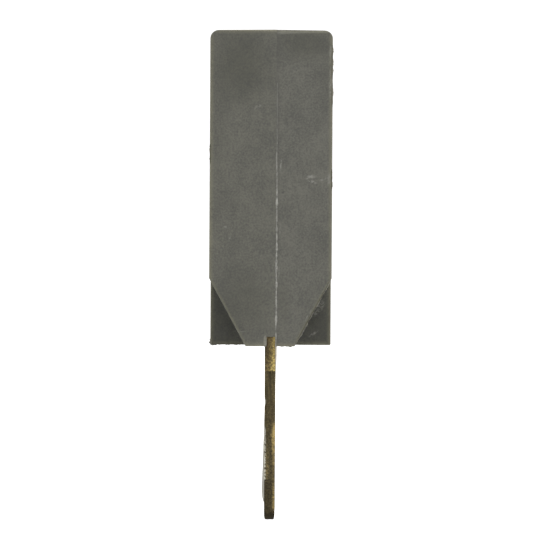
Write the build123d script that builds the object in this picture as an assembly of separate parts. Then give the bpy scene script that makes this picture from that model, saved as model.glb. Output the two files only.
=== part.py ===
from build123d import *
import math
import os

# Plug-in thermal circuit breaker with two flat blade terminals.
# X runs through the case's thickness, Y along its width from the line blade (-Y) to the load blade (+Y),
# and Z up, away from the blade tips. The origin is midway between the blades on the case's underside.
# All sizes are in millimetres.

# Case
case_thickness = 9.5
case_height = 24.5
wall = 1.15  # broad walls
rim_wall = 1.6  # end walls and roof
floor_wall = 1.3  # underside of the middle block
draft = 0.7  # degrees, from the seam out to each broad face
corner_round = 0.16  # upright edges
top_round = 0.68  # long top edges
base_end_round = 0.18  # short top edges of the base
cover_end_round = 0.42  # short top edges of the cover
foot_depth = 6.1  # how far each tapered foot runs in from its end of the case
foot_height = 5.25
foot_thickness = 3.8  # at the underside
foot_round = 0.1  # edges of the feet and of the block between them
label_length = 16.0  # shallow blank field on each broad face
label_height = 8.5
label_depth = 0.12
label_round = 1.0
gate_radius = 0.7  # round mark left by the moulding gate
gate_depth = 0.08

# Terminals
blade_thickness = 0.8
blade_width = 8.0
blade_pitch = 21.2
blade_length = 13.45  # below the case
edge_setback = 0.3  # blade's outer edge behind the end of the case
nub_drop = 1.94  # the cut-off nub's reach below the underside
nub_rise = 0.74  # and above it, which is the height of the notch in the base
nub_setback = 0.03  # nub's cut face behind the end of the case
tip_corner = 0.65
tip_bevel_length = 0.5
tip_bevel_depth = 0.1
shoulder_round = 0.6
post_radius = 0.9  # moulded post through each terminal
post_rise = 1.6  # post above the seam
post_gap = 0.05  # round each post

# Case pins
pin_radius = 0.8
pin_rise = 1.5
pin_boss_radius = 1.5
pin_gap = 0.05

# Switch
contact_head_radius = 1.6
contact_head = 0.5
contact_shank_radius = 0.85
contact_tail_radius = 1.25
contact_tail = 0.3
contact_bevel = 0.12
bimetal_thickness = 0.4
bimetal_width = 7.0
bimetal_ramp = 2.0  # length of the offset bend
bimetal_tail = 1.9  # past the moving contact's centre
bimetal_round = 1.2
clamp_thickness = 0.5
clamp_length = 3.6
clamp_round = 0.5
rivet_radius = 0.75
rivet_head_radius = 1.25
rivet_head = 0.45
rivet_spacing = 3.8
shank_gap = 0.02  # round each shank in its hole
tower_rim = 1.1  # width of the ledge round each terminal's back
seat_gap = 0.05  # round each terminal in its pocket
past = 1.0  # how far a cutting tool runs past the face it opens

# Places that follow from the sizes above
seam = blade_thickness / 2
half_thickness = case_thickness / 2
blade_in = (blade_pitch - blade_width) / 2
blade_out = (blade_pitch + blade_width) / 2
half_width = blade_out + edge_setback
chamber_depth = half_thickness - wall
chamber_half = half_width - rim_wall
chamber_floor = foot_height + 0.5 * wall
chamber_top = case_height - rim_wall
shoulder_out = chamber_half - seat_gap
pin_y = chamber_half - pin_boss_radius
pin_z = chamber_top - pin_boss_radius
terminal_top = pin_z - pin_boss_radius - 2 * seat_gap
switch_y = (blade_in + shoulder_out) / 2
switch_z = (chamber_floor + terminal_top) / 2
post_z = chamber_floor / 2
bimetal_x = seam + 2 * contact_head  # underside of the arm
clamp_edge = switch_y - clamp_length / 2


def block(x, y, z):
    """A box between two values on each axis."""
    middle = [(low + high) / 2 for low, high in (x, y, z)]
    size = [high - low for low, high in (x, y, z)]
    return Pos(*middle) * Box(*size)


def rod(radius, x, y, z):
    """A cylinder along X at y, z, between two values of x."""
    return Pos(sum(x) / 2, y, z) * Rot(0, 90, 0) * Cylinder(radius, x[1] - x[0])


def outline(points, rounds=()):
    """A flat face through points, with a radius at each numbered corner."""
    face = make_face(Polyline(*points, close=True))
    for number, radius in rounds:
        corner = Vector(*points[number])
        nearest = min(face.vertices(), key=lambda v: (Vector(*v) - corner).length)
        face = fillet(nearest, radius)
    return face


def across(face, x):
    """Extrudes a YZ outline between two values of x."""
    return extrude(Plane.YZ.offset(x[0]) * face, amount=x[1] - x[0])


def along(face, y):
    """Extrudes an XZ outline between two values of y."""
    return extrude(Plane.XZ.offset(-y[1]) * face, amount=y[1] - y[0])


def plate(y, z, x, radius):
    """A rectangle in YZ with round corners, extruded along X."""
    corners = [(y[0], z[0]), (y[1], z[0]), (y[1], z[1]), (y[0], z[1])]
    return across(outline(corners, [(n, radius) for n in range(4)]), x)


def half_block(side, end_round):
    """Half of the case before it is hollowed: side -1 is the base and +1 the cover."""
    outer = side * half_thickness
    taper = abs(outer - seam) * math.tan(math.radians(draft))
    end = half_width - taper
    plan = [(seam, -half_width), (outer, -end), (outer, end), (seam, half_width)]
    profile = [(seam, 0), (outer, 0), (outer, case_height - taper), (seam, case_height)]
    front = [
        (-half_width, 0),
        (half_width, 0),
        (half_width, case_height),
        (-half_width, case_height),
    ]
    upright = extrude(outline(plan, [(1, corner_round), (2, corner_round)]), case_height)
    lengthwise = along(outline(profile, [(2, top_round)]), (-half_width, half_width))
    crosswise = across(
        outline(front, [(2, end_round), (3, end_round)]), sorted((seam, outer))
    )
    return (upright & lengthwise & crosswise) - foot_tapers(side)


def foot_tapers(side):
    """What is cut from one half so that its two feet taper to the underside."""
    foot, outer = side * foot_thickness / 2, side * half_thickness
    slope = (outer - foot) / foot_height
    wedge = [
        (foot - slope * past, -past),
        (outer + slope * past, foot_height + past),
        (outer + slope * past, -past),
    ]
    inner = half_width - foot_depth
    near = along(outline(wedge), (-half_width - past, -inner))
    return near + mirror(near, Plane.XZ)


def soften_edges(shell):
    """Rounds the feet's sloping edges and the outer edges of the block between the feet."""
    step = half_width - foot_depth

    def sharp(edge):
        run = edge @ 1 - edge @ 0
        middle = edge.center()
        sloping = abs(run.X) > 1 and abs(run.Z) > 1 and abs(middle.Y) > step + 1
        outside = abs(abs(middle.X) - half_thickness) < 0.01 and middle.Z < foot_height - 1
        return sloping or (outside and abs(middle.Y) < step + 0.01)

    return fillet([edge for edge in shell.edges() if sharp(edge)], foot_round)


def chamber(x):
    """The hollow of one half: the switch chamber and the pocket below it, between the blades."""
    room = plate(
        (-chamber_half, chamber_half), (chamber_floor, chamber_top), x, tower_rim / 2
    )
    low = blade_in - tower_rim
    return room + block(x, (-low, low), (floor_wall, chamber_floor + tower_rim))


def surface_marks(side):
    """The blank label field and the gate mark, cut from a broad face."""
    face = side * half_thickness
    middle = (foot_height + case_height) / 2
    field = plate(
        (-label_length / 2, label_length / 2),
        (middle - label_height / 2, middle + label_height / 2),
        sorted((face - side * label_depth, face + side * past)),
        label_round,
    )
    gate_z = (middle + label_height / 2 + case_height) / 2
    gate = rod(gate_radius, sorted((face - side * gate_depth, face + side * past)), 0, gate_z)
    return field + gate


def corner_bosses(x):
    """Solid round each case pin, run out to the chamber's corner."""
    solid = None
    for side in (-1, 1):
        run = sorted((side * pin_y, side * (chamber_half + seat_gap)))
        boss = rod(pin_boss_radius, x, side * pin_y, pin_z)
        boss += block(x, run, (pin_z - pin_boss_radius, chamber_top + seat_gap))
        boss += block(
            x,
            (side * pin_y - pin_boss_radius, side * pin_y + pin_boss_radius),
            (pin_z, chamber_top + seat_gap),
        )
        solid = boss if solid is None else solid + boss
    return solid


def at_both_ends(tool):
    """A tool made at the load end, with its mirror image at the line end."""
    return tool + mirror(tool, Plane.XZ)


def base_shell():
    """The deeper half, which holds both terminals level with the seam."""
    back = -blade_thickness / 2
    shell = half_block(-1, base_end_round) - surface_marks(-1)
    shell = soften_edges(shell)
    shell -= chamber((-chamber_depth, seam + past))
    tower = block(
        (-chamber_depth, back),
        (blade_in - tower_rim, chamber_half + seat_gap),
        (chamber_floor - seat_gap, terminal_top),
    )
    hollow = block(
        (-chamber_depth, back + past),
        (blade_in + tower_rim, shoulder_out - tower_rim),
        (chamber_floor + tower_rim, terminal_top - tower_rim),
    )
    shell += at_both_ends(tower - hollow)
    shell += corner_bosses((-chamber_depth, seam))
    pocket = block(
        (back, seam + past),
        (blade_in - seat_gap, chamber_half),
        (-past, terminal_top + seat_gap),
    )
    notch = block((back, seam + past), (shoulder_out, half_width + past), (-past, nub_rise))
    shell -= at_both_ends(pocket + notch)
    shell += at_both_ends(rod(post_radius, (back, seam + post_rise), switch_y, post_z))
    shell += at_both_ends(rod(pin_radius, (seam, seam + pin_rise), pin_y, pin_z))
    return shell


def cover_shell():
    """The thinner half, which closes the seam over the terminals."""
    shell = half_block(1, cover_end_round) - surface_marks(1)
    shell = soften_edges(shell)
    shell -= chamber((seam - past, chamber_depth))
    shell += corner_bosses((seam, chamber_depth))
    hold_down = block(
        (seam, chamber_depth),
        (blade_in, chamber_half + seat_gap),
        (terminal_top - tower_rim, terminal_top),
    )
    shell += at_both_ends(hold_down)
    post_hole = rod(
        post_radius + post_gap, (seam - past, seam + post_rise + post_gap), switch_y, post_z
    )
    pin_hole = rod(
        pin_radius + pin_gap, (seam - past, seam + pin_rise + pin_gap), pin_y, pin_z
    )
    return shell - at_both_ends(post_hole + pin_hole)


def terminal_blank():
    """The stamping that both terminals start from, at the load end."""
    nub_out = half_width - nub_setback
    points = [
        (blade_in, -blade_length),
        (blade_out, -blade_length),
        (blade_out, -nub_drop),
        (nub_out, -nub_drop),
        (nub_out, nub_rise),
        (shoulder_out, nub_rise),
        (shoulder_out, terminal_top),
        (blade_in, terminal_top),
    ]
    rounds = [(0, tip_corner), (1, tip_corner), (6, shoulder_round), (7, shoulder_round)]
    thickness = (-blade_thickness / 2, blade_thickness / 2)
    blank = across(outline(points, rounds), thickness)
    half, coined = blade_thickness / 2, blade_thickness / 2 - tip_bevel_depth
    top = terminal_top + past
    side_view = [
        (-coined, -blade_length),
        (coined, -blade_length),
        (half, -blade_length + tip_bevel_length),
        (half, top),
        (-half, top),
        (-half, -blade_length + tip_bevel_length),
    ]
    blank &= along(outline(side_view), (0, half_width))
    return blank - rod(post_radius + post_gap, (-past, past), switch_y, post_z)


def line_terminal():
    """Blade at the line end, which carries the fixed contact."""
    hole = rod(contact_shank_radius + shank_gap, (-past, past), switch_y, switch_z)
    return mirror(terminal_blank() - hole, Plane.XZ)


def load_terminal():
    """Blade at the load end, with the two rivet holes for the bimetal."""
    blank = terminal_blank()
    for z in rivet_heights():
        blank -= rod(rivet_radius + shank_gap, (-past, past), switch_y, z)
    return blank


def rivet_heights():
    return (switch_z - rivet_spacing / 2, switch_z + rivet_spacing / 2)


def contact_rivet(face, direction, grip):
    """A silver contact whose head starts at x = face and runs along direction, with its shank behind."""
    head_x = sorted((face, face + direction * contact_head))
    head = rod(contact_head_radius, head_x, 0, 0)
    crown = head.faces().sort_by(Axis.X)[-1 if direction > 0 else 0]
    head = chamfer(crown.edges(), contact_bevel)
    back = face - direction * grip
    shank = rod(contact_shank_radius, sorted((face, back)), 0, 0)
    tail = rod(contact_tail_radius, sorted((back, back - direction * contact_tail)), 0, 0)
    return head + shank + tail


def fixed_contact():
    return Pos(0, -switch_y, switch_z) * contact_rivet(seam, 1, blade_thickness)


def moving_contact():
    return Pos(0, -switch_y, switch_z) * contact_rivet(bimetal_x, -1, bimetal_thickness)


def bimetal_strip():
    """The snap-acting strip: a flat tab on the load terminal, an offset bend and the arm."""
    low, high = seam, bimetal_x
    bend_start = clamp_edge - bimetal_thickness
    bend_end = bend_start - bimetal_ramp
    root = switch_y + clamp_length / 2
    tip = -switch_y - bimetal_tail
    under = [(low, root), (low, bend_start), (high, bend_end), (high, tip)]
    over = [(x + bimetal_thickness, y) for x, y in reversed(under)]
    z = (switch_z - bimetal_width / 2, switch_z + bimetal_width / 2)
    strip = Pos(0, 0, z[0]) * extrude(outline(under + over), bimetal_width)
    strip &= plate((tip, root), z, (0, high + past), bimetal_round)
    strip -= rod(contact_shank_radius + shank_gap, (0, high + past), -switch_y, switch_z)
    for rivet_z in rivet_heights():
        strip -= rod(rivet_radius + shank_gap, (0, high + past), switch_y, rivet_z)
    return strip


def clamp_plate():
    """Backs the strip's tab, so that the strip flexes from the plate's inner edge."""
    under = seam + bimetal_thickness
    y = (clamp_edge, clamp_edge + clamp_length)
    z = (switch_z - bimetal_width / 2, switch_z + bimetal_width / 2)
    solid = plate(y, z, (under, under + clamp_thickness), clamp_round)
    for rivet_z in rivet_heights():
        solid -= rod(rivet_radius + shank_gap, (under - past, under + past), switch_y, rivet_z)
    return solid


def bimetal_rivets():
    """Two rivets through the clamp plate, the strip's tab and the load terminal."""
    back = -blade_thickness / 2
    front = seam + bimetal_thickness + clamp_thickness
    rivets = []
    for z in rivet_heights():
        rivet = rod(rivet_radius, (back, front), switch_y, z)
        rivet += rod(rivet_head_radius, (front, front + rivet_head), switch_y, z)
        rivet += rod(rivet_head_radius, (back - rivet_head, back), switch_y, z)
        rivets.append(rivet.solid())
    return Compound(children=rivets)


pieces = {
    "base_shell": base_shell,
    "cover_shell": cover_shell,
    "line_terminal": line_terminal,
    "load_terminal": load_terminal,
    "fixed_contact": fixed_contact,
    "moving_contact": moving_contact,
    "bimetal_strip": bimetal_strip,
    "clamp_plate": clamp_plate,
    "bimetal_rivets": bimetal_rivets,
}

os.makedirs("parts", exist_ok=True)
for name, make in pieces.items():
    export_step(make(), f"parts/{name}.step")
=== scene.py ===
import math

import bmesh
import bpy
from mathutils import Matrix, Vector, noise
from mathutils.geometry import tessellate_polygon


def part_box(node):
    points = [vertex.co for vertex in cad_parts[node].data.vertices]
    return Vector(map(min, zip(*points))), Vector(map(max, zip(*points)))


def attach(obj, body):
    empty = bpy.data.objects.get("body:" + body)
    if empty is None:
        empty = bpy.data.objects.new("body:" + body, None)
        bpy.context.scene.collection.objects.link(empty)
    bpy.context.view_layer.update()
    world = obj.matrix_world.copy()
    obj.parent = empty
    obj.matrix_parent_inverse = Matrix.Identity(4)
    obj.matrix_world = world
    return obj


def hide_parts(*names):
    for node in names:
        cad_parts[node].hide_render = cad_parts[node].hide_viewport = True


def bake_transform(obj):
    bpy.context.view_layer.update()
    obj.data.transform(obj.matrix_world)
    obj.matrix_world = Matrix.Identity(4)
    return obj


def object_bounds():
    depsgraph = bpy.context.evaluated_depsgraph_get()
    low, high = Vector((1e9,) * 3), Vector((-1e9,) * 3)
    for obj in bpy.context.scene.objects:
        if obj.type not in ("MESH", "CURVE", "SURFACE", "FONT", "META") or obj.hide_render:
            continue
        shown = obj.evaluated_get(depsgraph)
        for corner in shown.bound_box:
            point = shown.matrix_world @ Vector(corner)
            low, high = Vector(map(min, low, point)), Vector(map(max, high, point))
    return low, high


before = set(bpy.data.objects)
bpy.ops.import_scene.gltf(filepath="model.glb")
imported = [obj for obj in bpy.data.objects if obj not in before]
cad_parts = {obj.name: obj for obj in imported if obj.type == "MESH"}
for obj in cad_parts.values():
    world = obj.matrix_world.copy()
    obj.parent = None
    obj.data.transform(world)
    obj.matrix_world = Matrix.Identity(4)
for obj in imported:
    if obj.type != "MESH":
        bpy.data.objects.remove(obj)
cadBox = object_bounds()
mm = 0.001
print("frame loaded")


# nodes and materials

def linearHex(code):
    channels = [int(code[i:i + 2], 16) / 255 for i in (1, 3, 5)]
    linear = [c / 12.92 if c <= 0.04045 else ((c + 0.055) / 1.055) ** 2.4 for c in channels]
    return (*linear, 1.0)


def plugIn(node, **inputs):
    # each input goes by its number, as in0, or its name; it takes a value, a socket or a node's output
    for key, value in inputs.items():
        digits = key[2:]
        byNumber = key.startswith("in") and digits.isdigit()
        socket = node.inputs[int(digits) if byNumber else key.replace("_", " ")]
        if isinstance(value, bpy.types.Node):
            value = next(output for output in value.outputs if output.enabled)
        if isinstance(value, bpy.types.NodeSocket):
            node.id_data.links.new(value, socket)
        else:
            socket.default_value = value


def addNode(tree, kind, settings=None, **inputs):
    # settings holds the node's properties, or is only the name of its operation
    # a Mix node's factor is in0, its two numbers in2 and in3, and its two colours in6 and in7
    node = tree.nodes.new("ShaderNode" + kind)
    if isinstance(settings, str):
        settings = {"operation": settings}
    for key, value in (settings or {}).items():
        setattr(node, key, value)
    plugIn(node, **inputs)
    return node


# settings of a Mix node: two numbers, a colour painted over another, and one multiplied by another
number = {"data_type": "FLOAT"}
paint = {"data_type": "RGBA"}
darken = {"data_type": "RGBA", "blend_type": "MULTIPLY"}


def startMaterial(name):
    # an empty material with its shader, its output and object coordinates in millimetres
    material = bpy.data.materials.new(name)
    material.use_nodes = True
    tree = material.node_tree
    tree.nodes.clear()
    shader = addNode(tree, "BsdfPrincipled")
    addNode(tree, "OutputMaterial", in0=shader)
    place = addNode(tree, "TexCoord")
    millimetres = addNode(tree, "VectorMath", "SCALE", in0=place.outputs["Object"], Scale=1 / mm)
    return material, tree, shader, millimetres


def fillRamp(node, stops):
    # stops are (position, sRGB hex)
    elements = node.color_ramp.elements
    while len(elements) < len(stops):
        elements.new(1.0)
    for element, (position, code) in zip(elements, stops):
        element.position = position
        element.color = linearHex(code)


def setMaterial(obj, material):
    obj.data.materials.clear()
    obj.data.materials.append(material)


# meshes

def addObject(name, data):
    obj = bpy.data.objects.new(name, data)
    bpy.context.scene.collection.objects.link(obj)
    return obj


def smoothShade(obj, sharpAngle):
    obj.data.shade_smooth()
    obj.data.set_sharp_from_angle(angle=math.radians(sharpAngle))


def buildMesh(name, points, faces, material, sharpAngle=35):
    mesh = bpy.data.meshes.new(name)
    mesh.from_pydata(points, [], faces)
    mesh.materials.append(material)
    mesh.update()
    obj = addObject(name, mesh)
    smoothShade(obj, sharpAngle)
    return obj


def finishMesh(name, mesh, materials, sharpAngle):
    # turns a bmesh into an object
    data = bpy.data.meshes.new(name)
    for material in materials:
        data.materials.append(material)
    mesh.to_mesh(data)
    mesh.free()
    obj = addObject(name, data)
    smoothShade(obj, sharpAngle)
    return obj


def cutAcross(mesh, axis, place):
    # adds a row of points where a plane square to the axis crosses the bmesh
    everything = mesh.verts[:] + mesh.edges[:] + mesh.faces[:]
    bmesh.ops.bisect_plane(mesh, geom=everything, plane_co=[v * place for v in axis], plane_no=axis)


def bridgeRings(count, size):
    # faces between rings of points that follow each other in the point list
    faces = []
    for k in range(count - 1):
        low, high = k * size, (k + 1) * size
        for j in range(size):
            n = (j + 1) % size
            faces.append((low + j, low + n, high + n, high + j))
    return faces


def resample(corners, step):
    # points along straight runs, no further apart than step
    found = []
    for a, b in zip(corners, corners[1:]):
        a, b = Vector(a), Vector(b)
        count = max(1, math.ceil((b - a).length / step))
        found += [a.lerp(b, i / count) for i in range(count)]
    return found + [Vector(corners[-1])]


def ripple(x, y, z, size):
    # smooth noise from -1 to 1 with features of the given size, all in millimetres
    return noise.noise(Vector((x / size, y / size, z / size)))


# camera, stage and lights

studio = {
    "cameraAt": (1.52, -314.9, 5.9),  # mm
    "lens": 258.7,
    "roll": -0.32,  # degrees
    "yaw": 0.296,
    "aim": (0, 0, 0.005),  # m, as are the places and sizes below
    "keyPower": 3.12,
    "keySize": (0.5, 0.5),
    "keyAt": (0.08, -0.46, 0.5),
    "sidePower": 1.1,
    "sideSize": (0.12, 0.6),
    "sideAt": (0.42, 0.12, 0.1),
    "stageRadius": 1.4,
    "stageHeight": 1.6,
    "stageCurve": 0.25,  # between the floor and the wall
    "stageGlow": 0.8,
    "fibre": 20,  # mm, far coarser than paper's, as only its slow change of tone shows
    # the tent of light, from straight below to overhead
    "tent": [(0.0, "#101010"), (0.42, "#1c1c1c"), (0.6, "#7a7a7a"), (1.0, "#cccccc")],
}


def makeCamera():
    data = bpy.data.cameras.new("camera")
    data.lens = studio["lens"]
    data.sensor_width = 36
    data.clip_start, data.clip_end = 0.01, 20
    camera = addObject("camera", data)
    camera.location = [v * mm for v in studio["cameraAt"]]
    roll, yaw = math.radians(studio["roll"]), math.radians(studio["yaw"])
    camera.rotation_euler = (math.radians(90), roll, yaw)
    bpy.context.scene.camera = camera


def makeLight(name, place, power, size):
    data = bpy.data.lights.new(name, "AREA")
    data.energy = power
    data.shape = "RECTANGLE"
    data.size, data.size_y = size
    light = addObject(name, data)
    light.location = place
    light.rotation_euler = (Vector(studio["aim"]) - Vector(place)).to_track_quat("-Z", "Y").to_euler()
    light.visible_camera = False


def makeStage():
    # a white paper sweep all round: floor, tight curve and wall
    radius, curve, floorZ = studio["stageRadius"], studio["stageCurve"], cadBox[0].z
    around, bends = 96, 12
    profile = [(radius - curve, floorZ)]
    for k in range(1, bends + 1):
        angle = math.radians(90 * k / bends)
        profile.append((radius - curve + curve * math.sin(angle), floorZ + curve * (1 - math.cos(angle))))
    profile.append((radius, floorZ + studio["stageHeight"]))
    angles = [2 * math.pi * i / around for i in range(around)]
    points = [Vector((0, 0, floorZ))]
    for r, z in profile:
        points += [Vector((r * math.cos(angle), r * math.sin(angle), z)) for angle in angles]
    faces = [(0, 1 + i, 1 + (i + 1) % around) for i in range(around)]
    for ring in range(len(profile) - 1):
        low, high = 1 + ring * around, 1 + (ring + 1) * around
        for i in range(around):
            n = (i + 1) % around
            faces.append((low + i, high + i, high + n, low + n))
    material, tree, shader, place = startMaterial("whitePaperSweep")  # matt card, even and nearly white
    fibre = addNode(tree, "TexNoise", Vector=place, Scale=1 / studio["fibre"], Detail=3.0)
    tone = addNode(tree, "ValToRGB", Fac=fibre)
    fillRamp(tone, [(0.0, "#f4f4f3"), (1.0, "#fbfbfa")])
    plugIn(shader, Base_Color=tone, Roughness=0.9)
    plugIn(shader, Emission_Color=linearHex("#ffffff"), Emission_Strength=studio["stageGlow"])
    stage = buildMesh("stage", points, faces, material)
    stage.visible_diffuse = False
    stage.visible_shadow = False


def makeWorld():
    # a soft tent of light, bright overhead and dim below
    world = bpy.data.worlds.new("softTent")
    bpy.context.scene.world = world
    world.use_nodes = True
    tree = world.node_tree
    tree.nodes.clear()
    place = addNode(tree, "TexCoord")
    split = addNode(tree, "SeparateXYZ", in0=place.outputs["Generated"])
    height = addNode(tree, "MapRange", in0=split.outputs["Z"], in1=-1.0, in2=1.0, in3=0.0, in4=1.0)
    tone = addNode(tree, "ValToRGB", Fac=height)
    fillRamp(tone, studio["tent"])
    light = addNode(tree, "Background", in0=tone, in1=1.0)
    addNode(tree, "OutputWorld", in0=light)


makeCamera()
makeStage()
makeWorld()
makeLight("keySoftbox", studio["keyAt"], studio["keyPower"], studio["keySize"])
for side in (-1, 1):
    x, y, z = studio["sideAt"]
    makeLight("sideStrip%d" % side, (side * x, y, z), studio["sidePower"], studio["sideSize"])
bpy.context.scene.view_settings.view_transform = "Standard"
print("camera, stage and lights made")


# the case

case = {
    "baseTones": ("#494942", "#6d6c61"),
    "coverTones": ("#4a4a43", "#6f6e64"),
    # colour of the painted highlight along the edges
    "edgeHighlightTone": "#85826c",
    "shadeTone": "#c0c1b9",  # multiplies the nylon's own colour, for the darker patches and the painted shade
    "scuffTone": "#a09f96",
    "speckTone": "#302f2b",
    # colour of the painted shadow beside the seam on the cover
    "seamShadeTone": "#3c3b36",
    "nylonIor": 1.53,  # nylon 66
    "half": (4.75, 14.9),  # mm, across and along
    "height": 24.5,
    "cloud": 4.5,  # mm across, as are the next two
    "mottle": 1.3,
    "grain": 0.15,  # drawn coarser than the real 0.05 mm so that it shows
    "flow": (0.3, 0.3, 1.6),  # mm, streaks from the melt's flow
    "flowShare": 0.2,
    "grainShare": 0.55,
    "cloudShare": 0.12,
    "speckCell": 1 / 0.42,  # mm, one speck in each
    "speckReach": (0.025, 0.05),  # its core and its rim, as parts of a cell
    "speckStrength": 0.6,
    "scuffBreaks": 0.2,  # mm
    "endsFrom": 8.0,  # mm from the middle: the scuffs of an end lie past here
    "edgeWear": 0.42,  # mm, width of the painted highlight along the edges
    "recessShade": 0.3,  # strength of the painted shade on the ends of the block in the recesses beside the feet
    "seam": 0.4,  # mm off the middle
    "seamShadeReach": (0.1, 0.4),  # mm past the seam: full, and gone
    "coverSeamShade": 0.35,
    "footOut": 1.9,  # the tapered foot's half thickness at the underside
    "footHeight": 5.25,
    "footDepth": 6.1,
    "labelHalf": (8.0, 4.25),
    "labelMiddle": 14.875,
    "roughness": (0.5, 0.62),
    "labelRoughness": 0.34,
}
# scuffs on the line end, the load end and the broad face of each half:
# (x or y, z, half length, half width, turn in degrees, strength)
baseScuffs = {
    "line": [
        (-1.05, 18.5, 0.34, 0.14, 32, 0.5), (-3.2, 8.2, 0.5, 0.06, 75, 0.35),
        (-2.4, 1.1, 0.7, 0.05, 5, 0.3), (-3.5, 9.2, 0.14, 0.1, 0, 0.45),
    ],
    "load": [
        (-2.6, 15.2, 0.5, 0.07, 118, 0.6), (-3.4, 20.9, 0.3, 0.12, 20, 0.5),
        (-1.2, 6.4, 0.7, 0.05, 80, 0.4),
    ],
    "face": [
        (-9.6, 19.7, 1.4, 0.06, 28, 0.5), (6.2, 8.6, 2.2, 0.05, -14, 0.4),
        (11.5, 13.2, 0.5, 0.2, 70, 0.45), (-3.4, 4.1, 1.0, 0.06, 8, 0.45),
    ],
}
coverScuffs = {
    "line": [
        (3.05, 13.1, 0.42, 0.16, 12, 0.8), (3.2, 12.75, 0.34, 0.12, -20, 0.85),
        (4.05, 12.95, 0.3, 0.12, 25, 0.6),
        # beside the seam
        (0.76, 14.0, 0.5, 0.07, 84, 0.7), (0.7, 15.6, 0.35, 0.05, 88, 0.5),
        (0.72, 8.9, 0.5, 0.06, 86, 0.45), (0.66, 5.7, 0.5, 0.06, 88, 0.5),
        # on the block and along the taper
        (3.4, 0.9, 0.42, 0.1, 35, 0.9), (3.95, 3.1, 0.5, 0.26, 60, 0.85),
        (3.6, 2.5, 0.3, 0.14, 55, 0.8), (2.95, 2.4, 0.45, 0.07, 61, 0.7),
        # the outer edge
        (4.56, 20.3, 1.1, 0.12, 90, 0.55), (4.56, 22.7, 0.8, 0.1, 89, 0.45),
        (4.5, 12.9, 0.5, 0.14, 90, 0.5),
    ],
    "load": [
        (2.4, 9.8, 0.6, 0.06, 66, 0.5), (3.6, 17.4, 0.35, 0.14, -35, 0.6),
        (1.5, 21.2, 0.4, 0.08, 10, 0.4),
    ],
    "face": [
        (10.4, 20.3, 1.2, 0.07, -32, 0.5), (-8.2, 7.9, 1.8, 0.05, 12, 0.45),
        (-12.6, 12.1, 0.6, 0.18, 100, 0.45), (2.8, 3.3, 1.3, 0.05, -6, 0.4),
    ],
}
# darker patches: (x, z, reach across, reach up, strength); the last of the base's and the last two of the
# cover's are painted shade in the recess and the corner beside the foot
baseShades = [
    (-2.4, 21.6, 3.6, 4.4, 0.98), (-2.2, 24.0, 4.2, 1.6, 0.3), (-2.0, 3.4, 3.2, 4.2, 0.66),
    # the last below is painted shade in the recess beside the foot
    (-4.0, 17.0, 1.2, 6.0, 0.2), (-4.2, 0.6, 2.5, 5.0, 0.84),
]
coverShades = [
    (2.6, 23.5, 3.8, 2.2, 0.92), (4.4, 20.6, 1.4, 3.4, 0.25), (1.0, 3.4, 0.9, 3.6, 0.45),
    # both below are painted shade, in the recess beside the foot and in its corner
    (4.3, 0.4, 2.4, 4.8, 1.0), (3.15, 1.8, 0.5, 0.5, 1.0),
]


def spotAt(tree, plane, mark):
    # distance from the middle of an ellipse, 1 at its rim; mark is (x, z, reach across, reach up, turn)
    px, pz, across, up, turn = mark
    local = addNode(tree, "Mapping", {"vector_type": "TEXTURE"}, Vector=plane, Location=(px, pz, 0),
                    Rotation=(0, 0, math.radians(turn)), Scale=(across, up, 1))
    return addNode(tree, "VectorMath", "LENGTH", in0=local)


def edgeWear(tree, z, absX, fromSide, fromEnd, fromStep, mottle):
    # 1 on an edge where two faces of the case meet, fading to 0 and ragged as it goes: the mask of the
    # painted edge highlight
    height, footHeight, footOut = case["height"], case["footHeight"], case["footOut"]
    belowTop = addNode(tree, "Math", "SUBTRACT", in0=height, in1=z)
    fromTop = addNode(tree, "Math", "MINIMUM", in0=belowTop, in1=z)
    # the second nearest of the side, the end, and the top or underside
    nearer = addNode(tree, "Math", "MINIMUM", in0=fromSide, in1=fromEnd)
    further = addNode(tree, "Math", "MAXIMUM", in0=fromSide, in1=fromEnd)
    further = addNode(tree, "Math", "MINIMUM", in0=further, in1=fromTop)
    second = addNode(tree, "Math", "MAXIMUM", in0=nearer, in1=further)
    # the foot's taper
    run = Vector((case["half"][0] - footOut, footHeight)).normalized()
    outside = addNode(tree, "Math", "SUBTRACT", in0=absX, in1=footOut)
    outward = addNode(tree, "Math", "MULTIPLY", in0=outside, in1=run.y)
    upward = addNode(tree, "Math", "MULTIPLY", in0=z, in1=run.x)
    across = addNode(tree, "Math", "SUBTRACT", in0=outward, in1=upward)
    fromTaper = addNode(tree, "Math", "ABSOLUTE", in0=across)
    taperEdge = addNode(tree, "Math", "MAXIMUM", in0=fromEnd, in1=fromTaper)
    taperEdge = addNode(tree, "Math", "MULTIPLY", in0=taperEdge, in1=1.6)  # a narrower band of painted highlight
    second = addNode(tree, "Math", "MINIMUM", in0=second, in1=taperEdge)
    # the edges of the block's end, below the top of the foot
    stepSide = addNode(tree, "Math", "MAXIMUM", in0=fromStep, in1=fromSide)
    stepUnder = addNode(tree, "Math", "MAXIMUM", in0=fromStep, in1=z)
    stepEdge = addNode(tree, "Math", "MINIMUM", in0=stepSide, in1=stepUnder)
    tooHigh = addNode(tree, "Math", "SUBTRACT", in0=z, in1=footHeight - 0.3)
    stepEdge = addNode(tree, "Math", "MAXIMUM", in0=stepEdge, in1=tooHigh)
    second = addNode(tree, "Math", "MINIMUM", in0=second, in1=stepEdge)
    near = addNode(tree, "MapRange", in0=second, in1=case["edgeWear"], in2=0.0)
    highlighted = addNode(tree, "Math", "POWER", in0=near, in1=1.6)
    ragged = addNode(tree, "MapRange", in0=mottle, in1=0.3, in2=0.6, in3=0.55, in4=1.0)
    return addNode(tree, "Math", "MULTIPLY", in0=highlighted, in1=ragged)


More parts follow.
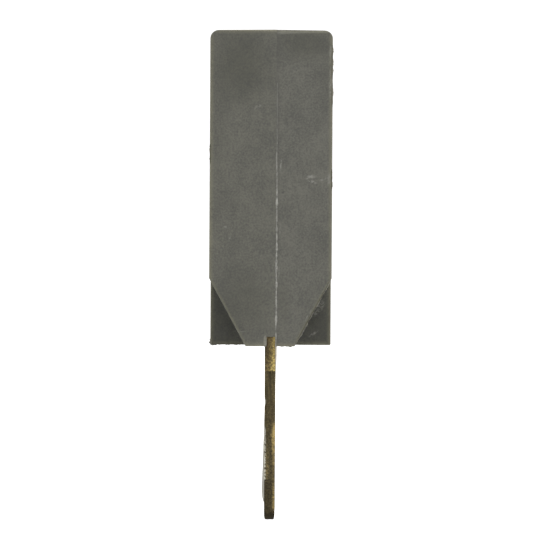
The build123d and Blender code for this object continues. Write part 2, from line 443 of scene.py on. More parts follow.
def labelField(tree, z, absY, onFace):
    # 1 inside the blank label field on the broad faces
    halfLength, halfHeight = case["labelHalf"]
    inLength = addNode(tree, "Math", "LESS_THAN", in0=absY, in1=halfLength)
    fromMiddle = addNode(tree, "Math", "SUBTRACT", in0=z, in1=case["labelMiddle"])
    fromMiddle = addNode(tree, "Math", "ABSOLUTE", in0=fromMiddle)
    inHeight = addNode(tree, "Math", "LESS_THAN", in0=fromMiddle, in1=halfHeight)
    field = addNode(tree, "Math", "MULTIPLY", in0=onFace, in1=inLength)
    return addNode(tree, "Math", "MULTIPLY", in0=field, in1=inHeight)


def mouldedNylon(name, tones, scuffs, shades, paintedSeamShade):
    # glass-filled nylon moulded in a spark-eroded tool: satin and softly mottled,
    # with a pale yellow painted highlight along its edges
    material, tree, shader, place = startMaterial(name)
    cloud = addNode(tree, "TexNoise", Vector=place, Scale=1 / case["cloud"], Detail=2.0, Roughness=0.5)
    mottle = addNode(tree, "TexNoise", Vector=place, Scale=1 / case["mottle"], Detail=5.0, Roughness=0.62)
    flowPlace = addNode(tree, "VectorMath", "DIVIDE", in0=place, in1=case["flow"])
    flow = addNode(tree, "TexNoise", Vector=flowPlace, Scale=1.0, Detail=2.0, Roughness=0.5)
    grain = addNode(tree, "TexNoise", Vector=place, Scale=1 / case["grain"], Detail=2.0, Roughness=0.6)
    blend = addNode(tree, "Mix", number, in0=case["flowShare"], in2=mottle, in3=flow)
    blend = addNode(tree, "Mix", number, in0=case["grainShare"], in2=blend, in3=grain)
    blend = addNode(tree, "Mix", number, in0=case["cloudShare"], in2=blend, in3=cloud)
    color = addNode(tree, "ValToRGB", Fac=blend)
    fillRamp(color, [(0.39, tones[0]), (0.61, tones[1])])

    x, y, z = addNode(tree, "SeparateXYZ", in0=place).outputs
    absX = addNode(tree, "Math", "ABSOLUTE", in0=x)
    absY = addNode(tree, "Math", "ABSOLUTE", in0=y)
    acrossEnd = addNode(tree, "CombineXYZ", in0=x, in1=z)
    alongFace = addNode(tree, "CombineXYZ", in0=y, in1=z)

    # darker patches, and painted shade in the recesses beside the feet
    for px, pz, across, up, strength in shades:
        reach = spotAt(tree, acrossEnd, (px, pz, across, up, 0))
        inside = addNode(tree, "MapRange", {"interpolation_type": "SMOOTHSTEP"}, in0=reach,
                         in1=1.0, in2=0.1, in3=0.0, in4=strength)
        color = addNode(tree, "Mix", darken, in0=inside, in6=color, in7=linearHex(case["shadeTone"]))

    # painted shade on the ends of the block in the recesses between the feet, and not on its broad faces
    blockEnd = case["half"][1] - case["footDepth"]
    fromSide = addNode(tree, "Math", "SUBTRACT", in0=case["half"][0], in1=absX)
    fromEnd = addNode(tree, "Math", "SUBTRACT", in0=case["half"][1], in1=absY)
    past = addNode(tree, "Math", "SUBTRACT", in0=blockEnd, in1=absY)
    fromStep = addNode(tree, "Math", "ABSOLUTE", in0=past)
    onStep = addNode(tree, "Math", "LESS_THAN", in0=fromStep, in1=0.1)
    low = addNode(tree, "Math", "LESS_THAN", in0=z, in1=case["footHeight"])
    within = addNode(tree, "Math", "GREATER_THAN", in0=fromSide, in1=0.02)
    sheltered = addNode(tree, "Math", "MULTIPLY", in0=onStep, in1=low)
    sheltered = addNode(tree, "Math", "MULTIPLY", in0=sheltered, in1=within)
    recessShade = addNode(tree, "Math", "MULTIPLY", in0=sheltered, in1=case["recessShade"])
    color = addNode(tree, "Mix", darken, in0=recessShade, in6=color, in7=linearHex(case["shadeTone"]))

    highlighted = edgeWear(tree, z, absX, fromSide, fromEnd, fromStep, mottle)
    # painted highlight, pale and yellow, along the edges
    color = addNode(tree, "Mix", paint, in0=highlighted, in6=color, in7=linearHex(case["edgeHighlightTone"]))

    # scuffs, each a soft ellipse broken up by noise
    breaks = addNode(tree, "TexNoise", Vector=place, Scale=1 / case["scuffBreaks"], Detail=3.0, Roughness=0.7)
    broken = addNode(tree, "MapRange", in0=breaks, in1=0.4, in2=0.58)
    onFace = addNode(tree, "Math", "LESS_THAN", in0=fromSide, in1=0.2)
    onLine = addNode(tree, "Math", "LESS_THAN", in0=y, in1=-case["endsFrom"])
    onLoad = addNode(tree, "Math", "GREATER_THAN", in0=y, in1=case["endsFrom"])
    areas = {"line": (acrossEnd, onLine), "load": (acrossEnd, onLoad), "face": (alongFace, onFace)}
    for area, marks in scuffs.items():
        plane, here = areas[area]
        for *mark, strength in marks:
            reach = spotAt(tree, plane, mark)
            inside = addNode(tree, "MapRange", in0=reach, in1=1.3, in2=0.4, in3=0.0, in4=strength)
            amount = addNode(tree, "Math", "MULTIPLY", in0=inside, in1=here)
            amount = addNode(tree, "Math", "MULTIPLY", in0=amount, in1=broken)
            color = addNode(tree, "Mix", paint, in0=amount, in6=color, in7=linearHex(case["scuffTone"]))

    # a few dark specks in the melt
    specks = addNode(tree, "TexVoronoi", Vector=place, Scale=1 / case["speckCell"])
    core, rim = case["speckReach"]
    speck = addNode(tree, "MapRange", in0=specks, in1=rim, in2=core, in3=0.0, in4=case["speckStrength"])
    color = addNode(tree, "Mix", paint, in0=speck, in6=color, in7=linearHex(case["speckTone"]))

    if paintedSeamShade:  # painted shadow beside the seam, where the cover's edge stands back from the base's
        full, gone = (case["seam"] + reach for reach in case["seamShadeReach"])
        near = addNode(tree, "MapRange", in0=x, in1=gone, in2=full, in3=0.0, in4=paintedSeamShade)
        color = addNode(tree, "Mix", paint, in0=near, in6=color, in7=linearHex(case["seamShadeTone"]))

    # the blank label field is polished in the tool, and the rest keeps the spark's texture
    field = labelField(tree, z, absY, onFace)
    smooth, coarse = case["roughness"]
    satin = addNode(tree, "MapRange", in0=grain, in1=0.3, in2=0.7, in3=smooth, in4=coarse)
    rough = addNode(tree, "Mix", number, in0=field, in2=satin, in3=case["labelRoughness"])
    pits = addNode(tree, "Mix", number, in0=field, in2=grain, in3=0.5)
    relief = addNode(tree, "Mix", number, in0=0.35, in2=pits, in3=mottle)
    bump = addNode(tree, "Bump", Strength=0.4, Distance=0.03 * mm, Height=relief)
    plugIn(shader, Base_Color=color, Roughness=rough, IOR=case["nylonIor"], Normal=bump)
    return material


baseNylon = mouldedNylon("mouldedNylonBase", case["baseTones"], baseScuffs, baseShades, 0)
# painted shadow beside the seam on the cover
seamShadeAmount = case["coverSeamShade"]
coverNylon = mouldedNylon("mouldedNylonCover", case["coverTones"], coverScuffs, coverShades, seamShadeAmount)
for node, material in (("base_shell", baseNylon), ("cover_shell", coverNylon)):
    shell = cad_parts[node]
    setMaterial(shell, material)
    smoothShade(shell, 25)
print("case finished")


# the flash along the weld between the two halves, and at other edges of the mould

flash = {
    "width": 0.18,  # mm
    "height": 0.06,
    "step": 0.11,  # mm between sections
    "offset": 0.06,  # towards the cover, where most of it has flowed
    "top": 20.4,  # how far up the ends it runs
    "cornerGap": 0.9,  # left clear of each end along the top
    "elsewhere": 0.25,  # strength along the top and the underside
    "sunk": 0.09,  # of its height, so that it goes under between beads
    "nibStep": 0.06,
    "ragged": 0.3125,  # mm, size of its tonal patches
    "fade": (12.0, 17.0),  # mm up the case: the tone goes over to the upper tone between these heights
    "fadeAmount": 0.92,
}
# how much has been squeezed out at each height up the ends: (z, strength)
seamProfile = [
    (0.0, 0.2), (0.9, 0.3), (1.3, 0.45), (3.6, 0.58), (5.4, 0.9), (9.0, 0.85), (12.0, 0.6), (14.5, 0.5),
    (16.2, 0.22), (19.2, 0.08), (20.5, 0.0), (24.6, 0.0),
]
block = case["half"][1] - case["footDepth"] - 0.05  # y just inside the ends of the block between the feet
across, along, left, right, front, down = (1, 0, 0), (0, 1, 0), (-1, 0, 0), (1, 0, 0), (0, -1, 0), (0, 0, -1)
# ragged edge flash: (name, path, outward, direction of its width, width, height, seed)
nibs = [
    ("edgeFlash_top", [(4.74, -14.8, 20.7), (4.74, -14.8, 23.3)], right, along, 0.2, 0.1, 3),
    ("edgeFlash_nick", [(4.74, -14.8, 18.6), (4.74, -14.8, 20.45)], right, along, 0.18, 0.08, 8),
    ("edgeFlash_middle", [(4.74, -14.8, 12.2), (4.74, -14.8, 13.7)], right, along, 0.18, 0.08, 12),
    ("edgeFlash_base", [(-4.74, -14.8, 14.1), (-4.74, -14.8, 15.6)], left, along, 0.16, 0.06, 21),
    ("blockFlash_side", [(-4.66, -block, 0.02), (-4.7, -block, 0.5)], left, along, 0.24, 0.22, 29),
    ("blockFlash_corner", [(-4.78, -block, 0.03), (-4.15, -block, 0.03)], down, along, 0.24, 0.2, 33),
    ("blockFlash_line", [(-4.3, -block, 0.02), (-2.2, -block, 0.02)], down, along, 0.2, 0.09, 40),
    ("blockFlash_load", [(1.4, block, 0.02), (4.7, block, 0.02)], down, along, 0.2, 0.08, 51),
    ("footFlash_line", [(0.55, -14.78, 0.02), (1.85, -14.78, 0.02)], down, along, 0.2, 0.12, 62),
    ("taperFlash_line", [(2.0, -14.87, 0.15), (4.68, -14.87, 5.1)], (0.88, 0, -0.48), along, 0.16, 0.09, 84),
    ("notchFlash_line", [(-0.38, -14.9, -0.02), (-0.37, -14.9, 0.84)], front, across, 0.24, 0.045, 70),
]


def thinNylon(name, dark, light, upperTone):
    # the same nylon squeezed out thin and whitened where it stretched, its paleness partly a painted
    # highlight of light on the edges it runs along: matt, pale and ragged, with another tone higher up
    material, tree, shader, place = startMaterial(name)
    ragged = addNode(tree, "TexNoise", Vector=place, Scale=1 / flash["ragged"], Detail=4.0, Roughness=0.7)
    tone = addNode(tree, "ValToRGB", Fac=ragged)
    fillRamp(tone, [(0.36, dark), (0.6, light)])
    z = addNode(tree, "SeparateXYZ", in0=place).outputs["Z"]
    low, high = flash["fade"]
    upper = addNode(tree, "MapRange", in0=z, in1=low, in2=high, in3=0.0, in4=flash["fadeAmount"])
    color = addNode(tree, "Mix", paint, in0=upper, in6=tone, in7=linearHex(upperTone))
    rough = addNode(tree, "MapRange", in0=ragged, in3=0.55, in4=0.8)
    bump = addNode(tree, "Bump", Strength=0.4, Distance=0.01 * mm, Height=ragged)
    plugIn(shader, Base_Color=color, Roughness=rough, IOR=case["nylonIor"], Normal=bump)
    return material


def makeBead(name, path, outward, along, widths, heights, material):
    # a ragged bead on a surface, as wide and high at each point of its path as the two lists say
    sections = [(-0.5, -0.4), (-0.32, 0.55), (0.02, 1.0), (0.36, 0.5), (0.5, -0.4)]
    outward, along = Vector(outward), Vector(along)
    points = []
    for p, width, height in zip(path, widths, heights):
        points += [(p + along * width * u + outward * height * v) * mm for u, v in sections]
    size = len(sections)
    faces = bridgeRings(len(path), size)
    faces.append(tuple(range(size - 1, -1, -1)))
    faces.append(tuple(range((len(path) - 1) * size, len(path) * size)))
    bead = buildMesh(name, points, faces, material, sharpAngle=50)
    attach(bead, "case")


def seamStrength(z):
    for (low, a), (high, b) in zip(seamProfile, seamProfile[1:]):
        if z <= high:
            return a + (b - a) * max(0.0, z - low) / (high - low)
    return 0.0


def makeSeamFlash(material):
    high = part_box("base_shell")[1]
    end, top = high.y / mm, high.z / mm
    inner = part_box("load_terminal")[0].y / mm
    x = case["seam"] + flash["offset"]
    gap = flash["cornerGap"]
    runs = {
        "end_line": ([(x, -end, 0.02), (x, -end, flash["top"])], (0, -1, 0)),
        "top": ([(x, -end + gap, top), (x, end - gap, top)], (0, 0, 1)),
        "end_load": ([(x, end, flash["top"]), (x, end, 0.02)], (0, 1, 0)),
        "under": ([(x, -inner + 0.1, 0.0), (x, inner - 0.1, 0.0)], (0, 0, -1)),
    }
    for name, (corners, outward) in runs.items():
        path, widths, heights = [], [], []
        for p in resample(corners, flash["step"]):
            strength = flash["elsewhere"] if outward[2] else seamStrength(p.z)
            wave = 0.85 + 0.9 * ripple(p.x, p.y, p.z, 0.9) + 0.9 * ripple(p.x, p.y, p.z + 40, 0.28)
            widths.append(flash["width"] * (0.35 + 0.65 * strength) * max(0.25, wave))
            heights.append(flash["height"] * (strength * max(0.1, wave) - flash["sunk"]))
            path.append(p + Vector((0.035 * ripple(0, p.y, p.z, 1.4), 0, 0)))
        makeBead("seamFlash_" + name, path, outward, (1, 0, 0), widths, heights, material)


def makeNibs(name, corners, outward, along, width, height, seed, material):
    # tongues of flash with gaps between them, dying away at both ends
    path = resample(corners, flash["nibStep"])
    count = len(path)
    widths, heights = [], []
    for k, p in enumerate(path):
        ends = min(1.0, 8 * k / count, 8 * (count - 1 - k) / count)
        wave = 0.55 + 0.6 * ripple(p.x + seed, p.y, p.z, 0.35) + 0.5 * ripple(p.x, p.y + seed, p.z, 0.14)
        widths.append(width * (0.6 + 0.4 * ends))
        heights.append(height * (max(0.0, wave) * ends - 0.15))
    makeBead(name, path, outward, along, widths, heights, material)


# flash tones paler than the case: stress whitening, and painted highlight of the lit seam and edges
whitenedHighlit = thinNylon("whitenedAndHighlitNylon", "#7a7972", "#c4c3ba", "#6f6e67")
edgeNylon = thinNylon("thinNylonFlash", "#74726a", "#9b9888", "#928f80")
makeSeamFlash(whitenedHighlit)
for nib in nibs:
    makeNibs(*nib, edgeNylon)
print("flash finished")


# the broken-off gate stubs, one in each round gate mark

gate = {
    "radius": 0.42,  # mm
    "rise": 0.07,
    "depth": 0.08,
    "place": (0.0, 21.81),  # y and z
    "rings": 7,
    "around": 28,
}


def makeGateStub(name, side, material):
    # the stub's rim sinks into the mark, and its torn top stays below the face
    rings, around = gate["rings"], gate["around"]
    y, z = gate["place"]
    face = case["half"][0] - gate["depth"]
    points = []
    for k in range(rings):
        t = k / (rings - 1)
        sunk = 0.02 if k == 0 else 0.0
        for i in range(around):
            angle = 2 * math.pi * i / around
            c, s = math.cos(angle), math.sin(angle)
            radius = gate["radius"] * (1 - t) * (1 + 0.14 * ripple(c * 2, s * 2, side * 5, 1.0)) + 0.01
            torn = 0.35 * ripple(radius * c, radius * s, side * 9, 0.16)
            rise = gate["rise"] * min(1.0, t * 2.4) * (0.75 + torn) - sunk
            points.append(Vector((side * (face + rise), y + radius * c, z + radius * s)) * mm)
    faces = bridgeRings(rings, around)
    faces.append(tuple(range((rings - 1) * around, rings * around)))
    if side < 0:
        faces = [face[::-1] for face in faces]
    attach(buildMesh(name, points, faces, material, sharpAngle=60), "case")


for side, name in ((-1, "gateStub_base"), (1, "gateStub_cover")):
    makeGateStub(name, side, whitenedHighlit)
print("gate stubs finished")


# the terminals, stamped from plated strip

terminal = {
    "thickness": 0.8,  # mm, as is all that isn't said otherwise
    "innerEdge": 6.6,
    "outerEdge": 14.6,
    "nubEdge": 14.87,
    "nubDrop": -1.94,
    "nubTop": 0.74,
    "shoulder": 13.25,
    "tipCorner": 0.65,
    "shoulderCorner": 0.6,
    "nubCorners": (0.08, 0.04, 0.04, 0.1),
    "tipLength": 0.6,  # coined tip
    "tipThinning": 0.1,  # a side
    "step": 0.12,  # between points along the sheared edge
    "leanDegrees": 1.76,  # the load blade has been pushed over a little
    "leanFrom": -1.3,
    "leanRow": 0.12,  # from the bend to the rows of points above and below it
    "curl": (-12.3, 0.19),  # and its tip knocked back: from this z, by this much
    "curlRow": 0.9,  # above the tip
    "plateBorder": 0.9,  # plating left on the sheared edge beside the inner one
    "tin": [(0.32, "#807e77"), (0.55, "#93918a"), (0.8, "#aeada5")],
    "rollingLines": (0.3, 0.11, 9.0),  # along x, y and z, drawn coarser than real so that they show
    "tinCloud": 1 / 0.35,  # slow change of tone
    "wipes": (1.0, 0.24, 6.0),
    "gripped": (-12.9, -12.3, -4.5, -3.0),  # z edges of where the receptacle has gripped
    "tarnish": [(0.12, "#221d12"), (0.28, "#322b1c"), (0.42, "#413a27"), (0.56, "#564b32"), (0.8, "#93804f")],
    "smearTone": "#aaa799",
    "cropped": [(0.1, "#352c1d"), (0.35, "#4d432c"), (0.55, "#685b3b"), (0.75, "#8b7b48"), (0.95, "#b8a468")],
    # the four below are drawn coarser than real so that they show
    "dragLines": (0.1, 0.5, 2.6),
    "tornGrain": 1 / 6.5,
    "fineGrain": 1 / 11.0,
    "croppedGrain": 1 / 6.0,
}
# the sheared edge from the die-roll side to the burr: (x, how far in, roughness of the edge)
shear = [
    (-0.4, 0.13, 0.0), (-0.402, 0.06, 0.0), (-0.385, 0.025, 0.003), (-0.34, 0.004, 0.003),
    (-0.05, 0.0, 0.003), (0.0, 0.012, 0.014), (0.16, 0.016, 0.02), (0.36, 0.012, 0.018),
    (0.425, 0.014, 0.01), (0.4, 0.06, 0.0),
]
wells = {  # where rivets and posts pass through: (y, z, radius)
    "line": [(9.925, 2.9125, 0.95), (9.925, 12.8125, 0.87)],
    "load": [(9.925, 2.9125, 0.95), (9.925, 10.9125, 0.77), (9.925, 14.7125, 0.77)],
}
# knocks in the die-roll corner: (z, half length, depth)
nicks = [(-4.3, 0.32, 0.11), (-6.6, 0.45, 0.09), (-8.9, 0.3, 0.05)]
# where the sheared edge is lighter, rubbed bare and with painted highlight: (x edges, z edges, what it adds
# to the tone)
bareAndHighlit = [
    ((0.08, 0.26, 0.5, 0.6), (-8.4, -7.4, -6.6, -5.6), 0.34),
    ((0.16, 0.26, 0.5, 0.6), (-10.2, -9.2, -8.2, -7.8), 0.14),
    ((0.14, 0.3, 0.5, 0.6), (-12.85, -12.5, -11.0, -10.0), 0.27),
    ((-0.5, -0.42, -0.2, 0.1), (-10.4, -9.9, -8.6, -7.6), 0.13),
    ((0.26, 0.34, 0.5, 0.6), (-13.0, -12.6, -2.0, -1.9), 0.08),
]
# where it is darker and duller lower down, and painted shade where the tip turns under: (z edges, what it
# takes off)
tipDarkening = [((-13.6, -13.5, -10.6, -10.2), 0.09), ((-13.7, -13.6, -12.95, -12.75), 0.14)]


def roundCorner(before, corner, after, radius, count=8):
    before, corner, after = Vector(before), Vector(corner), Vector(after)
    a, b = (before - corner).normalized(), (after - corner).normalized()
    half = a.angle(b) / 2
    start = corner + a * radius / math.tan(half)
    end = corner + b * radius / math.tan(half)
    centre = corner + (a + b).normalized() * radius / math.sin(half)
    spokes = [(start - centre).lerp(end - centre, k / count) for k in range(count + 1)]
    return [centre + spoke.normalized() * radius for spoke in spokes]


def terminalOutline():
    # (y, z) round the blank, anticlockwise, at the load end
    t = terminal
    low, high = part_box("load_terminal")
    bottom, top = low.z / mm, high.z / mm
    corners = [
        (t["innerEdge"], bottom), (t["outerEdge"], bottom), (t["outerEdge"], t["nubDrop"]),
        (t["nubEdge"], t["nubDrop"]), (t["nubEdge"], t["nubTop"]), (t["shoulder"], t["nubTop"]),
        (t["shoulder"], top), (t["innerEdge"], top),
    ]
    radii = [t["tipCorner"], t["tipCorner"], *t["nubCorners"], t["shoulderCorner"], t["shoulderCorner"]]
    rounded = []
    for k, (corner, radius) in enumerate(zip(corners, radii)):
        rounded += roundCorner(corners[k - 1], corner, corners[(k + 1) % len(corners)], radius)
    closed = [(p.x, p.y, 0) for p in rounded + rounded[:1]]
    return [p.xy for p in resample(closed, t["step"])][:-1]


def ringAt(outline, inset, roughness, seed):
    # the outline moved inwards along its own normals, less so at the nub's tight corners, with a rough edge
    tight = [Vector((terminal["nubEdge"], z)) for z in (terminal["nubDrop"], terminal["nubTop"])]
    count, ring = len(outline), []
    for k, p in enumerate(outline):
        run = outline[(k + 1) % count] - outline[k - 1]
        inward = Vector((-run.y, run.x)).normalized()
        chatter = ripple(p.x, p.y, seed, 0.3) + 0.6 * ripple(p.x, p.y, seed + 9, 0.12)
        room = 0.02 + 0.35 * min((p - corner).length for corner in tight)
        ring.append(p + inward * min(room, max(0.0, inset + roughness * chatter)))
    return ring


def nickAt(p):
    # how far the die-roll corner has been knocked in
    if p.x < terminal["outerEdge"] - 0.3:
        return 0
    depths = [depth * (1 - ((p.y - z) / length) ** 2) for z, length, depth in nicks if abs(p.y - z) < length]
    return max(depths, default=0)


def circle(y, z, radius, count=28):
    angles = [-2 * math.pi * k / count for k in range(count)]
    return [Vector((y + radius * math.cos(angle), z + radius * math.sin(angle))) for angle in angles]


def edgeFinish(ring, y, platedInner):
    # 0 plated, 1 sheared, 2 fresh cut
    # rings count from the die-roll side, and the first and last ones keep their plating
    if ring > 2 and y > terminal["nubEdge"] - 0.06:
        return 2
    plated = ring < 1 or ring > 7 or (platedInner and y < terminal["innerEdge"] + terminal["plateBorder"])
    return 0 if plated else 1


def shapeBlade(mesh, lean):
    # coins the tip, then bends a pushed blade over and curls its end back
    t = terminal
    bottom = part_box("load_terminal")[0].z / mm
    tip, bend, (curlFrom, curlBy) = t["tipLength"], t["leanFrom"], t["curl"]
    rows = [bend + t["leanRow"], bend, bend - t["leanRow"], curlFrom, bottom + t["curlRow"]]
    rows += [bottom + tip * share for share in (1, 0.55, 0.2)]
    for z in rows:
        cutAcross(mesh, (0, 0, 1), z)
    for v in mesh.verts:
        down = (bottom + tip - v.co.z) / tip
        if down > 0:
            rounded = 1 - math.sqrt(max(0.0, 1 - min(1.0, down) ** 2))
            v.co.x *= 1 - t["tipThinning"] / (t["thickness"] / 2) * rounded
        if lean and v.co.z < bend:
            v.co.x -= math.tan(math.radians(lean)) * (bend - v.co.z)
            curled = max(0.0, (curlFrom - v.co.z) / (curlFrom - bottom))
            v.co.x += curlBy * curled ** 1.5


def makeTerminal(name, side, holes, lean, materials, platedInner=False):
    # materials are the plated face, the sheared edge and the fresh cut
    outline = terminalOutline()
    size, last = len(outline), len(shear) - 1
    rings = [ringAt(outline, inset, roughness, 3 * k) for k, (x, inset, roughness) in enumerate(shear)]
    points = []
    for k, ring in enumerate(rings):
        nicked = 0 < k < 4  # only the rings of the die-roll corner
        points += [(shear[k][0] + (nickAt(p) if nicked else 0), p.x, p.y) for p in ring]
    faces = bridgeRings(len(rings), size)
    finishes = [edgeFinish(k, p.x, platedInner) for k in range(last) for p in outline]
    # the broad faces, open at the wells
    circles = [circle(*hole) for hole in holes]
    starts = []
    for k in (0, last):
        starts.append(len(points))
        index = list(range(k * size, (k + 1) * size))
        for well in circles:
            index += range(len(points), len(points) + len(well))
            points += [(shear[k][0], p.x, p.y) for p in well]
        loops = [[p.to_3d() for p in loop] for loop in (rings[k], *circles)]
        for corners in tessellate_polygon(loops):
            face = tuple(index[corner] for corner in corners)
            faces.append(face if k else face[::-1])
            finishes.append(0)
    # the wells' walls
    for w, well in enumerate(circles):
        near, far = (start + w * len(well) for start in starts)
        for j in range(len(well)):
            n = (j + 1) % len(well)
            faces.append((near + j, near + n, far + n, far + j))
            finishes.append(1)
    mesh = bmesh.new()
    made = [mesh.verts.new(p) for p in points]
    for face, finish in zip(faces, finishes):
        mesh.faces.new([made[i] for i in face]).material_index = finish
    shapeBlade(mesh, lean)
    for v in mesh.verts:
        v.co.y *= side
        v.co *= mm
    if side < 0:
        bmesh.ops.reverse_faces(mesh, faces=mesh.faces[:])
    bmesh.ops.recalc_face_normals(mesh, faces=mesh.faces[:])
    obj = finishMesh(name, mesh, materials, 25)
    for polygon in obj.data.polygons:
        if abs(polygon.normal.x) > 0.998:
            polygon.use_smooth = False  # the broad faces stay flat to their edges
    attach(obj, "case")
    return obj


def bandMask(tree, value, edges):
    # 1 between the middle two edges, falling to 0 at the outer two
    rise = addNode(tree, "MapRange", in0=value, in1=edges[0], in2=edges[1])
    fall = addNode(tree, "MapRange", in0=value, in1=edges[3], in2=edges[2])
    return addNode(tree, "Math", "MULTIPLY", in0=rise, in1=fall)


def tinPlate():
    # matt tin on rolled brass: silvery grey, dulled, with fine rolling lines along the blade
    # and brighter wipes where the receptacle has gripped
    material, tree, shader, place = startMaterial("tinPlatedBrass")
    linePlace = addNode(tree, "VectorMath", "DIVIDE", in0=place, in1=terminal["rollingLines"])
    lines = addNode(tree, "TexNoise", Vector=linePlace, Scale=1.0, Detail=3.0, Roughness=0.6)
    cloud = addNode(tree, "TexNoise", Vector=place, Scale=1 / terminal["tinCloud"], Detail=3.0, Roughness=0.5)
    blend = addNode(tree, "Mix", number, in0=0.25, in2=lines, in3=cloud)
    wipePlace = addNode(tree, "VectorMath", "DIVIDE", in0=place, in1=terminal["wipes"])
    wipes = addNode(tree, "TexNoise", Vector=wipePlace, Scale=1.0, Detail=1.0)
    wiped = addNode(tree, "MapRange", in0=wipes, in1=0.56, in2=0.7, in3=0.0, in4=0.11)
    split = addNode(tree, "SeparateXYZ", in0=place)
    gripped = bandMask(tree, split.outputs["Z"], terminal["gripped"])
    lift = addNode(tree, "Math", "MULTIPLY", in0=wiped, in1=gripped)
    amount = addNode(tree, "Math", "ADD", in0=blend, in1=lift)
    tone = addNode(tree, "ValToRGB", Fac=amount)
    fillRamp(tone, terminal["tin"])
    rough = addNode(tree, "MapRange", in0=amount, in1=0.3, in2=0.8, in3=0.52, in4=0.3)
    bump = addNode(tree, "Bump", Strength=0.25, Distance=0.006 * mm, Height=lines)
    plugIn(shader, Base_Color=tone, Metallic=1.0, Roughness=rough, Normal=bump)
    return material


def shearedBrass():
    # brass sheared by the stamping die and left to tarnish: olive brown, lighter where the burr has been
    # rubbed bare and where a highlight is painted, near black at the tip, where shade is painted as it turns
    # under
    material, tree, shader, place = startMaterial("tarnishedShearedBrass")
    split = addNode(tree, "SeparateXYZ", in0=place)
    x, z = split.outputs["X"], split.outputs["Z"]
    # drag lines along the blade near the case, torn grain further down
    dragPlace = addNode(tree, "VectorMath", "DIVIDE", in0=place, in1=terminal["dragLines"])
    drag = addNode(tree, "TexNoise", Vector=dragPlace, Scale=1.0, Detail=2.0, Roughness=0.5)
    tornScale, fineScale = 1 / terminal["tornGrain"], 1 / terminal["fineGrain"]
    torn = addNode(tree, "TexNoise", Vector=place, Scale=tornScale, Detail=3.0, Roughness=0.75)
    fine = addNode(tree, "TexNoise", Vector=place, Scale=fineScale, Detail=1.0)
    lower = addNode(tree, "MapRange", in0=z, in1=-3.6, in2=-4.6, in3=0.1, in4=0.9)
    pattern = addNode(tree, "Mix", number, in0=lower, in2=drag, in3=torn)
    pattern = addNode(tree, "Mix", number, in0=0.3, in2=pattern, in3=fine)
    amount = addNode(tree, "Math", "SUBTRACT", in0=pattern, in1=0.5)
    amount = addNode(tree, "Math", "MULTIPLY", in0=amount, in1=1.3)
    amount = addNode(tree, "Math", "ADD", in0=amount, in1=0.4)
    for across, along, strength in bareAndHighlit:
        acrossMask, alongMask = bandMask(tree, x, across), bandMask(tree, z, along)
        band = addNode(tree, "Math", "MULTIPLY", in0=acrossMask, in1=alongMask)
        band = addNode(tree, "Math", "MULTIPLY", in0=band, in1=strength)
        amount = addNode(tree, "Math", "ADD", in0=amount, in1=band)
    for along, strength in tipDarkening:
        band = addNode(tree, "Math", "MULTIPLY", in0=bandMask(tree, z, along), in1=strength)
        amount = addNode(tree, "Math", "SUBTRACT", in0=amount, in1=band)
    tone = addNode(tree, "ValToRGB", Fac=amount)
    fillRamp(tone, terminal["tarnish"])
    # tin dragged round the die-roll corner
    acrossMask = bandMask(tree, x, (-0.5, -0.45, -0.34, -0.24))
    alongMask = bandMask(tree, z, (-10.5, -10.3, -7.4, -6.4))
    smeared = addNode(tree, "Math", "MULTIPLY", in0=acrossMask, in1=alongMask)
    ragged = addNode(tree, "MapRange", in0=torn, in1=0.43, in2=0.56)
    smeared = addNode(tree, "Math", "MULTIPLY", in0=smeared, in1=ragged)
    color = addNode(tree, "Mix", paint, in0=smeared, in6=tone, in7=linearHex(terminal["smearTone"]))
    rough = addNode(tree, "MapRange", in0=amount, in1=0.3, in2=0.7, in3=0.62, in4=0.42)
    bump = addNode(tree, "Bump", Strength=0.5, Distance=0.02 * mm, Height=pattern)
    plugIn(shader, Base_Color=color, Metallic=0.85, Roughness=rough, Normal=bump)
    return material


def cutBrass():
    # the stub where the blank was cropped from its carrier: torn yellow brass on the burr side, smeared and
    # dull on the other, with painted highlight on the burr side and painted shade at its top, under the case
    material, tree, shader, place = startMaterial("croppedBrass")
    split = addNode(tree, "SeparateXYZ", in0=place)
    tornScale = 1 / terminal["croppedGrain"]
    torn = addNode(tree, "TexNoise", Vector=place, Scale=tornScale, Detail=4.0, Roughness=0.8)
    # lighter towards the burr side: torn brass, and painted highlight
    fresh = addNode(tree, "MapRange", in0=split.outputs["X"], in1=-0.2, in2=0.3, in3=-0.18, in4=0.24)
    # darker towards the top: painted shade under the case
    low = addNode(tree, "MapRange", in0=split.outputs["Z"], in1=0.4, in2=-1.7, in3=-0.12, in4=0.05)
    amount = addNode(tree, "MapRange", in0=torn, in1=0.34, in2=0.66, in3=0.08, in4=0.8)
    amount = addNode(tree, "Math", "ADD", in0=amount, in1=fresh)
    amount = addNode(tree, "Math", "ADD", in0=amount, in1=low)
    tone = addNode(tree, "ValToRGB", Fac=amount)
    fillRamp(tone, terminal["cropped"])
    bump = addNode(tree, "Bump", Strength=0.7, Distance=0.03 * mm, Height=torn)
    plugIn(shader, Base_Color=tone, Metallic=0.9, Roughness=0.5, Normal=bump)
    return material


terminalFinish = (tinPlate(), shearedBrass(), cutBrass())
lineBlade = makeTerminal("lineBlade", -1, wells["line"], 0, terminalFinish)
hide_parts("line_terminal")
lean = terminal["leanDegrees"]
loadBlade = makeTerminal("loadBlade", 1, wells["load"], lean, terminalFinish, platedInner=True)
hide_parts("load_terminal")
print("terminals finished")


# the switch inside

switch = {
    "armStep": 0.5,  # mm between the bend's cuts
    "bendFrom": (1.0, 8.2, 12.8),  # mm, from the clamp plate's edge
    "bendTo": (1.0, 5.0, 12.8),
    "cloud": 1 / 0.7,  # mm, slow change of tone on every metal
    "alongStrip": (1, 40, 1),  # how far marks are drawn out along the strip
}


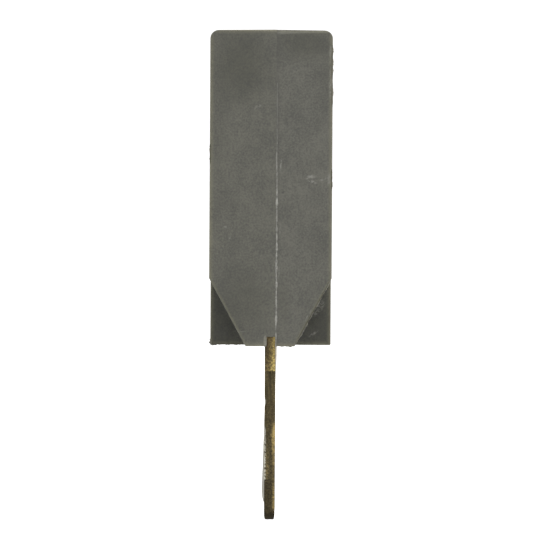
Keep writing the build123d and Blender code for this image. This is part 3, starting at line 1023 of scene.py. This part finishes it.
def workedMetal(name, tones, grain, roughness, stretch=(1, 1, 1)):
    # tones from marks of the given size in mm, coarser than real so that they show,
    # and drawn out along the way that the metal was worked
    material, tree, shader, place = startMaterial(name)
    working = addNode(tree, "VectorMath", "DIVIDE", in0=place, in1=[grain * v for v in stretch])
    marks = addNode(tree, "TexNoise", Vector=working, Scale=1.0, Detail=4.0, Roughness=0.62)
    cloud = addNode(tree, "TexNoise", Vector=place, Scale=1 / switch["cloud"], Detail=3.0)
    blend = addNode(tree, "Mix", number, in0=0.35, in2=marks, in3=cloud)
    tone = addNode(tree, "ValToRGB", Fac=blend)
    fillRamp(tone, [(0.35, tones[0]), (0.65, tones[1])])
    dull, bright = roughness + 0.08, roughness - 0.06
    rough = addNode(tree, "MapRange", in0=blend, in1=0.35, in2=0.65, in3=dull, in4=bright)
    bump = addNode(tree, "Bump", Strength=0.3, Distance=0.004 * mm, Height=marks)
    plugIn(shader, Base_Color=tone, Metallic=1.0, Roughness=rough, Normal=bump)
    return material


def makeArm(materials):
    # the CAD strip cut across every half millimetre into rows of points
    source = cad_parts["bimetal_strip"]
    mesh = bmesh.new()
    mesh.from_mesh(source.data)
    mesh.transform(source.matrix_world)
    low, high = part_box("bimetal_strip")
    y = low.y + switch["armStep"] * mm
    while y < high.y:
        cutAcross(mesh, (0, 1, 0), y)
        y += switch["armStep"] * mm
    for face in mesh.faces:
        # the copper alloy is on the side towards the cover
        face.material_index = 1 if face.normal.x > 0.3 else 0
    arm = finishMesh("bimetalArm", mesh, materials, 30)
    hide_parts("bimetal_strip")
    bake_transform(arm)


# cold-rolled nickel iron: cool grey, with fine lines along the strip
invar = workedMetal("rolledNickelIron", ("#777570", "#93918b"), 0.12, 0.4, switch["alongStrip"])
# cold-rolled copper alloy: the same lines on a dull red brown
copperLayer = workedMetal("rolledCopperAlloy", ("#6c4a36", "#835f47"), 0.12, 0.42, switch["alongStrip"])
# silver alloy coined in a die: pale, soft and even
silver = workedMetal("coinedSilverAlloy", ("#7f7d78", "#a3a19b"), 0.25, 0.42)
# barrel-plated zinc on steel: neutral grey, with a coarse spangle drawn out a little
zinc = workedMetal("zincPlatedSteel", ("#6b6c6b", "#898b8a"), 0.5, 0.44, (1, 3, 1))
# cold-headed brass: warm yellow, faintly mottled by the punch
headedBrass = workedMetal("headedBrass", ("#6b5a38", "#8c774b"), 0.2, 0.4)
makeArm((invar, copperLayer))
innerPieces = {
    "fixed_contact": silver, "moving_contact": silver, "clamp_plate": zinc, "bimetal_rivets": headedBrass,
}
for name, material in innerPieces.items():
    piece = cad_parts[name]
    setMaterial(piece, material)
    smoothShade(piece, 30)
print("switch finished")
